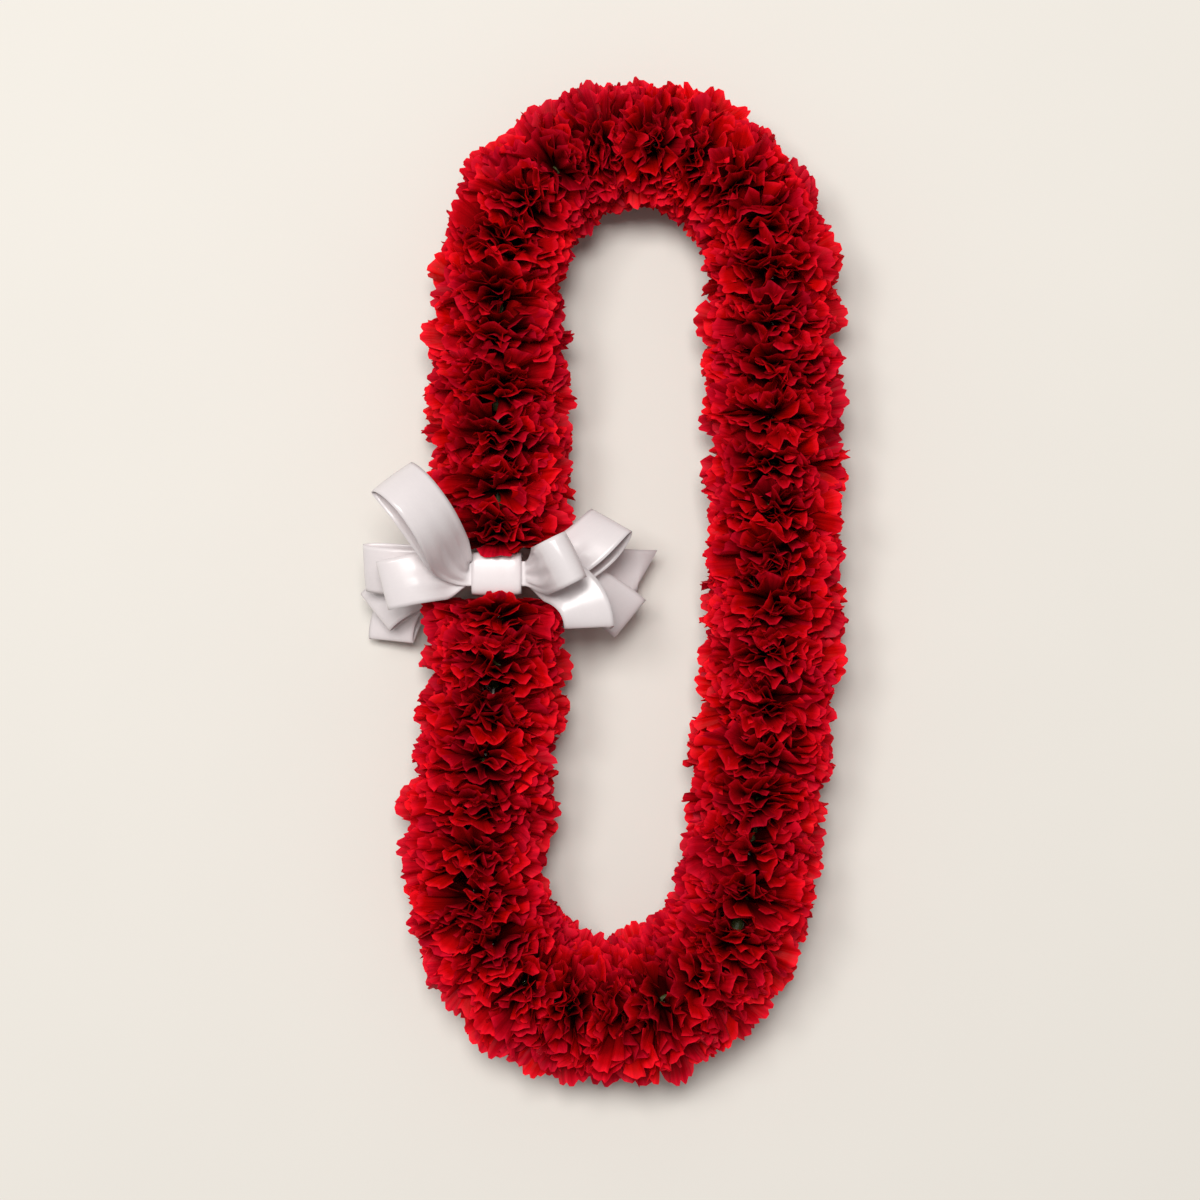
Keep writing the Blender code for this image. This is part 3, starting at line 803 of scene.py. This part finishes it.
def add(tree, kind, inputs=None, **settings):
    """A new shader node with its settings, and its inputs set to values or linked to sockets."""
    made = tree.nodes.new(kind)
    for key, value in settings.items():
        setattr(made, key, value)
    for key, value in (inputs or {}).items():
        if isinstance(value, bpy.types.NodeSocket):
            tree.links.new(value, made.inputs[key])
        else:
            made.inputs[key].default_value = value
    return made


def calculate(tree, operation, *values):
    """The socket of a Math node over these values or sockets."""
    return add(tree, "ShaderNodeMath", dict(enumerate(values)), operation=operation).outputs[0]


def summed(tree, base, *parts):
    """The socket of a base number or socket, plus each value times its own number."""
    for value, by in parts:
        base = calculate(tree, "MULTIPLY_ADD", value, by, base)
    return base


def group(name, inputs, outputs):
    """An empty node group with these named inputs and outputs, and its two ends."""
    tree = bpy.data.node_groups.new(name, "ShaderNodeTree")
    for label, kind, default in inputs:
        socket = tree.interface.new_socket(label, in_out="INPUT", socket_type=kind)
        socket.default_value = default
    for label, kind in outputs:
        tree.interface.new_socket(label, in_out="OUTPUT", socket_type=kind)
    return tree, tree.nodes.new("NodeGroupInput"), tree.nodes.new("NodeGroupOutput")


def mottle_group():
    """Soft cloudy patches of two sizes on the object's own coordinates, as one value round 0.5."""
    tree, start, end = group(
        "Mottle", [("Size", "NodeSocketFloat", 60.0)], [("Value", "NodeSocketFloat")]
    )
    place = add(tree, "ShaderNodeTexCoord").outputs["Object"]
    size = start.outputs["Size"]
    coarse = add(tree, "ShaderNodeTexNoise", {"Vector": place, "Scale": size, "Detail": 2.0})
    finer = calculate(tree, "MULTIPLY", size, 7.0)
    fine = add(tree, "ShaderNodeTexNoise", {"Vector": place, "Scale": finer, "Detail": 3.0})
    both = calculate(tree, "ADD", coarse.outputs[0], fine.outputs[0])
    tree.links.new(calculate(tree, "MULTIPLY", both, 0.5), end.inputs["Value"])
    return tree


def mottle(tree, size):
    """The value of the shared mottle, placed in a material with patches of this size."""
    shared_group = shared("Mottle", mottle_group)
    return add(tree, "ShaderNodeGroup", {"Size": size}, node_tree=shared_group).outputs["Value"]


def new_material(name):
    """A new material, with its node tree, its main shader and its output."""
    made = bpy.data.materials.new(name)
    made.use_nodes = True
    tree = made.node_tree
    return made, tree, tree.nodes["Principled BSDF"], tree.nodes["Material Output"]


def set_inputs(node, **values):
    """Sets constant inputs, named with underscores for spaces."""
    for key, value in values.items():
        node.inputs[key.replace("_", " ")].default_value = value


def own_map(tree):
    """The place on a piece's own map, as sockets of the way across and the way along."""
    place = add(tree, "ShaderNodeUVMap", uv_map="Surface").outputs[0]
    return add(tree, "ShaderNodeSeparateXYZ", {0: place}).outputs[:2]


def noise_at(tree, detail, *parts):
    """Noise at a place of two or three values, each times its own number."""
    place = [calculate(tree, "MULTIPLY", value, by) for value, by in parts]
    vector = add(tree, "ShaderNodeCombineXYZ", dict(enumerate(place))).outputs[0]
    inputs = {"Vector": vector, "Scale": 1.0, "Detail": detail}
    return add(tree, "ShaderNodeTexNoise", inputs).outputs[0]


def blended(tree, value, *stops):
    """A colour that changes with a value, from rising stops of a value and its colour."""
    ramp = add(tree, "ShaderNodeValToRGB", {0: value})
    elements = ramp.color_ramp.elements
    for place, _ in stops[1:-1]:
        elements.new(place)
    for element, (place, colour) in zip(elements, stops):
        element.position, element.color = place, (*colour, 1)
    return ramp.outputs[0]


def shaded(tree, colour, value, hue=None):
    """A colour made lighter or darker by a value, and turned by a hue where one is given."""
    inputs = {"Value": value, "Color": colour}
    if hue is not None:
        inputs["Hue"] = hue
    return add(tree, "ShaderNodeHueSaturation", inputs).outputs[0]


def feed(tree, shader, colour, roughness, height, strength, distance):
    """Links a shader's colour and roughness, and bumps of a height. Puts out the bumped normal."""
    inputs = {"Strength": strength, "Distance": distance, "Height": height}
    normal = add(tree, "ShaderNodeBump", inputs).outputs[0]
    tree.links.new(colour, shader.inputs["Base Color"])
    tree.links.new(roughness, shader.inputs["Roughness"])
    tree.links.new(normal, shader.inputs["Normal"])
    return normal


def let_through(tree, shader, output, share, inputs):
    """Mixes a share of light that comes through from behind into a material."""
    through = add(tree, "ShaderNodeBsdfTranslucent", inputs)
    parts = {0: share, 1: shader.outputs[0], 2: through.outputs[0]}
    tree.links.new(add(tree, "ShaderNodeMixShader", parts).outputs[0], output.inputs["Surface"])


def petal_material(settings):
    """Red with painted shade near the cord and a painted highlight along the margin, with fine rays
    from the claw and light let through.
    """
    made, tree, shader, output = new_material("petal_red")
    across, along = own_map(tree)
    tone = add(tree, "ShaderNodeAttribute", attribute_name="tone").outputs["Fac"]
    rays = noise_at(tree, 3.0, (across, RAYS_ACROSS), (along, RAYS_ALONG), (tone, RAYS_APART))
    # Painted shade near the cord, the blade's own red, and a painted highlight along the margin.
    colours = settings.painted_shade_colour, settings.blade_colour, settings.margin_highlight_colour
    shade = summed(tree, 0.20, (tone, 0.30), (rays, 1.0), (mottle(tree, 70.0), 0.36))
    hue = summed(tree, 0.4975, (tone, 0.004))
    colour = shaded(tree, blended(tree, along, *zip(PETAL_STOPS, colours)), shade, hue)
    roughness = summed(tree, 0.38, (rays, 0.25))
    normal = feed(tree, shader, colour, roughness, rays, strength=0.8, distance=0.8 * MM)
    set_inputs(shader, Specular_IOR_Level=0.09)
    let_through(tree, shader, output, PETAL_THROUGH, {"Color": colour, "Normal": normal})
    return made


def calyx_material(settings):
    """Waxy olive green with pale patches."""
    made, tree, shader, _ = new_material("calyx")
    patches = mottle(tree, 160.0)
    dark = [0.55 * c for c in settings.calyx_colour]
    green = blended(tree, patches, (0.35, dark), (0.68, settings.calyx_colour))
    roughness = summed(tree, 0.35, (patches, 0.3))
    feed(tree, shader, green, roughness, patches, strength=0.3, distance=0.3 * MM)
    return made


def cord_material(settings):
    """Off-white cotton whose fibres are only seen as a fuzz of light and dark."""
    made, tree, shader, _ = new_material("cord_cotton")
    fuzz = mottle(tree, 900.0)
    dark = [0.6 * c for c in settings.cord_colour]
    cotton = blended(tree, fuzz, (0.3, dark), (0.7, settings.cord_colour))
    roughness = summed(tree, 0.75, (fuzz, 0.2))
    feed(tree, shader, cotton, roughness, fuzz, strength=0.7, distance=0.2 * MM)
    return made


def satin_material(settings):
    """White satin: fine threads along the ribbon, a raised selvedge at each edge, and a soft sheen.

    A share of the light comes through it, which lightens the shaded layers.
    """
    made, tree, shader, output = new_material("satin_ribbon")
    across, along = own_map(tree)
    threads = noise_at(tree, 2.0, (across, THREADS_ACROSS), (along, THREADS_ALONG))
    half = settings.width / 2
    from_middle = calculate(tree, "ABSOLUTE", calculate(tree, "SUBTRACT", across, half))
    selvedge = calculate(tree, "GREATER_THAN", from_middle, half - SELVEDGE)
    shade = summed(tree, 0.94, (threads, 0.05), (mottle(tree, 90.0), 0.07), (selvedge, -0.02))
    colour = shaded(tree, (*settings.satin_colour, 1), shade)
    roughness = summed(tree, 0.20, (threads, 0.08))
    height = summed(tree, threads, (selvedge, 0.8))
    feed(tree, shader, colour, roughness, height, strength=0.25, distance=0.05 * MM)
    set_inputs(shader, Specular_IOR_Level=0.55)
    let_through(tree, shader, output, SATIN_THROUGH, {"Color": colour})
    return made


def floor_material(settings):
    """Pale warm paper with a very faint mottle."""
    made, tree, shader, _ = new_material("floor")
    place = add(tree, "ShaderNodeTexCoord").outputs["Object"]
    cloud = add(tree, "ShaderNodeTexNoise", {"Vector": place, "Scale": 9.0, "Detail": 6.0})
    shade = summed(tree, 0.985, (cloud.outputs[0], 0.03))
    colour = shaded(tree, (*settings.floor_colour, 1), shade)
    tree.links.new(colour, shader.inputs["Base Color"])
    set_inputs(shader, Roughness=0.9, Specular_IOR_Level=0.1)
    return made


def shared(name, build, *values):
    """The node group or material of this name, built the first time that it is asked for."""
    return bpy.data.materials.get(name) or bpy.data.node_groups.get(name) or build(*values)


# ---------- Operators


class LEI_OT_petals(bpy.types.Operator):
    """Makes the petals of every flower"""

    bl_idname = "lei.petals"
    bl_label = "Petals"

    def execute(self, context):
        settings = context.scene.lei_petals
        strand = Strand()
        material = shared("petal_red", petal_material, settings)
        for index in range(len(FLOWERS)):
            make_petals(strand, index, settings, material)
        return {"FINISHED"}


class LEI_OT_calyxes(bpy.types.Operator):
    """Makes the green cup under every flower"""

    bl_idname = "lei.calyxes"
    bl_label = "Calyxes"

    def execute(self, context):
        strand = Strand()
        settings = context.scene.lei_petals
        material = shared("calyx", calyx_material, settings)
        for index in range(len(FLOWERS)):
            make_calyx(strand, index, material)
        return {"FINISHED"}


class LEI_OT_cord(bpy.types.Operator):
    """Gives the frame's cord its cotton"""

    bl_idname = "lei.cord"
    bl_label = "Cord"

    def execute(self, context):
        settings = context.scene.lei_ribbon
        cotton = shared("cord_cotton", cord_material, settings)
        for slot in NODES["cord"].material_slots:
            slot.material = cotton
        return {"FINISHED"}


class LEI_OT_bow_loops(bpy.types.Operator):
    """Makes the loops and the tail of the bow"""

    bl_idname = "lei.bow_loops"
    bl_label = "Bow loops"

    def execute(self, context):
        settings = context.scene.lei_ribbon
        strand = Strand()
        satin = shared("satin_ribbon", satin_material, settings)
        for order, loop in enumerate(LOOPS):
            make_loop(strand, loop, settings, satin, order)
        return {"FINISHED"}


class LEI_OT_bow_wrap(bpy.types.Operator):
    """Makes the ribbon round the bow's waist and the turn that ties it to the cord"""

    bl_idname = "lei.bow_wrap"
    bl_label = "Bow wrap and tie"

    def execute(self, context):
        settings = context.scene.lei_ribbon
        strand = Strand()
        satin = shared("satin_ribbon", satin_material, settings)
        make_wrap(strand, settings, satin)
        make_tie(strand, settings, satin)
        return {"FINISHED"}


class LEI_OT_stage(bpy.types.Operator):
    """Makes the floor, the soft lights and the camera"""

    bl_idname = "lei.stage"
    bl_label = "Stage"

    def execute(self, context):
        scene = context.scene
        settings = scene.lei_stage
        corners = FLOOR_HALF * np.array([[-1, -1, 0], [1, -1, 0], [1, 1, 0], [-1, 1, 0]])
        floor = make_mesh("floor", corners, np.array([[0, 1, 2, 3]]), floor_material(settings))
        for name, place, size, share, colour in LIGHTS:
            add_light(name, place, size, share * settings.key_power, colour)
        world = bpy.data.worlds.new("room")
        world.use_nodes = True
        sky = world.node_tree.nodes["Background"]
        set_inputs(sky, Color=(*SKY_COLOUR, 1), Strength=settings.sky)
        scene.world = world
        lens = bpy.data.cameras.new("camera")
        lens.lens = settings.lens
        camera = bpy.data.objects.new("camera", lens)
        scene.collection.objects.link(camera)
        away = settings.view_width * lens.lens / lens.sensor_width
        low, high = CAD_BOX
        across, along = ((low[k] + high[k]) / 2 + VIEW_OFFSET[k] for k in (0, 1))
        camera.location = (across, along, VIEW_LEVEL + away)
        scene.camera = camera
        scene.view_settings.view_transform = "Standard"
        return {"FINISHED"}


def add_light(name, place, size, power, colour):
    """A square soft light that faces the middle of the lei."""
    data = bpy.data.lights.new(name, "AREA")
    data.size, data.energy, data.color = size, power, colour
    light = bpy.data.objects.new(name, data)
    bpy.context.scene.collection.objects.link(light)
    light.location = place
    light.rotation_euler = Vector(place).to_track_quat("Z", "Y").to_euler()


class LEI_PT_panel(bpy.types.Panel):
    """Lists the lei's settings and the steps that make it"""

    bl_idname = "LEI_PT_panel"
    bl_label = "Carnation Lei"
    bl_space_type = "VIEW_3D"
    bl_region_type = "UI"
    bl_category = "Lei"

    def draw(self, context):
        scene = context.scene
        for group_of_settings in (scene.lei_petals, scene.lei_ribbon, scene.lei_stage):
            box = self.layout.box()
            for key in group_of_settings.__annotations__:
                box.prop(group_of_settings, key)
        for step in STEPS:
            self.layout.operator(step.bl_idname)


SETTINGS = {
    "lei_petals": LeiPetalSettings,
    "lei_ribbon": LeiRibbonSettings,
    "lei_stage": LeiStageSettings,
}
STEPS = (
    LEI_OT_petals, LEI_OT_calyxes, LEI_OT_cord, LEI_OT_bow_loops, LEI_OT_bow_wrap, LEI_OT_stage,
)


def register():
    for made in (*SETTINGS.values(), *STEPS, LEI_PT_panel):
        bpy.utils.register_class(made)
    for key, kind in SETTINGS.items():
        setattr(bpy.types.Scene, key, bpy.props.PointerProperty(type=kind))


def unregister():
    for key in SETTINGS:
        delattr(bpy.types.Scene, key)
    for made in reversed((*SETTINGS.values(), *STEPS, LEI_PT_panel)):
        bpy.utils.unregister_class(made)


def main():
    register()
    bpy.ops.lei.petals()
    bpy.ops.lei.calyxes()
    bpy.ops.lei.cord()
    bpy.ops.lei.bow_loops()
    bpy.ops.lei.bow_wrap()
    bpy.ops.lei.stage()


if __name__ == "__main__":
    main()
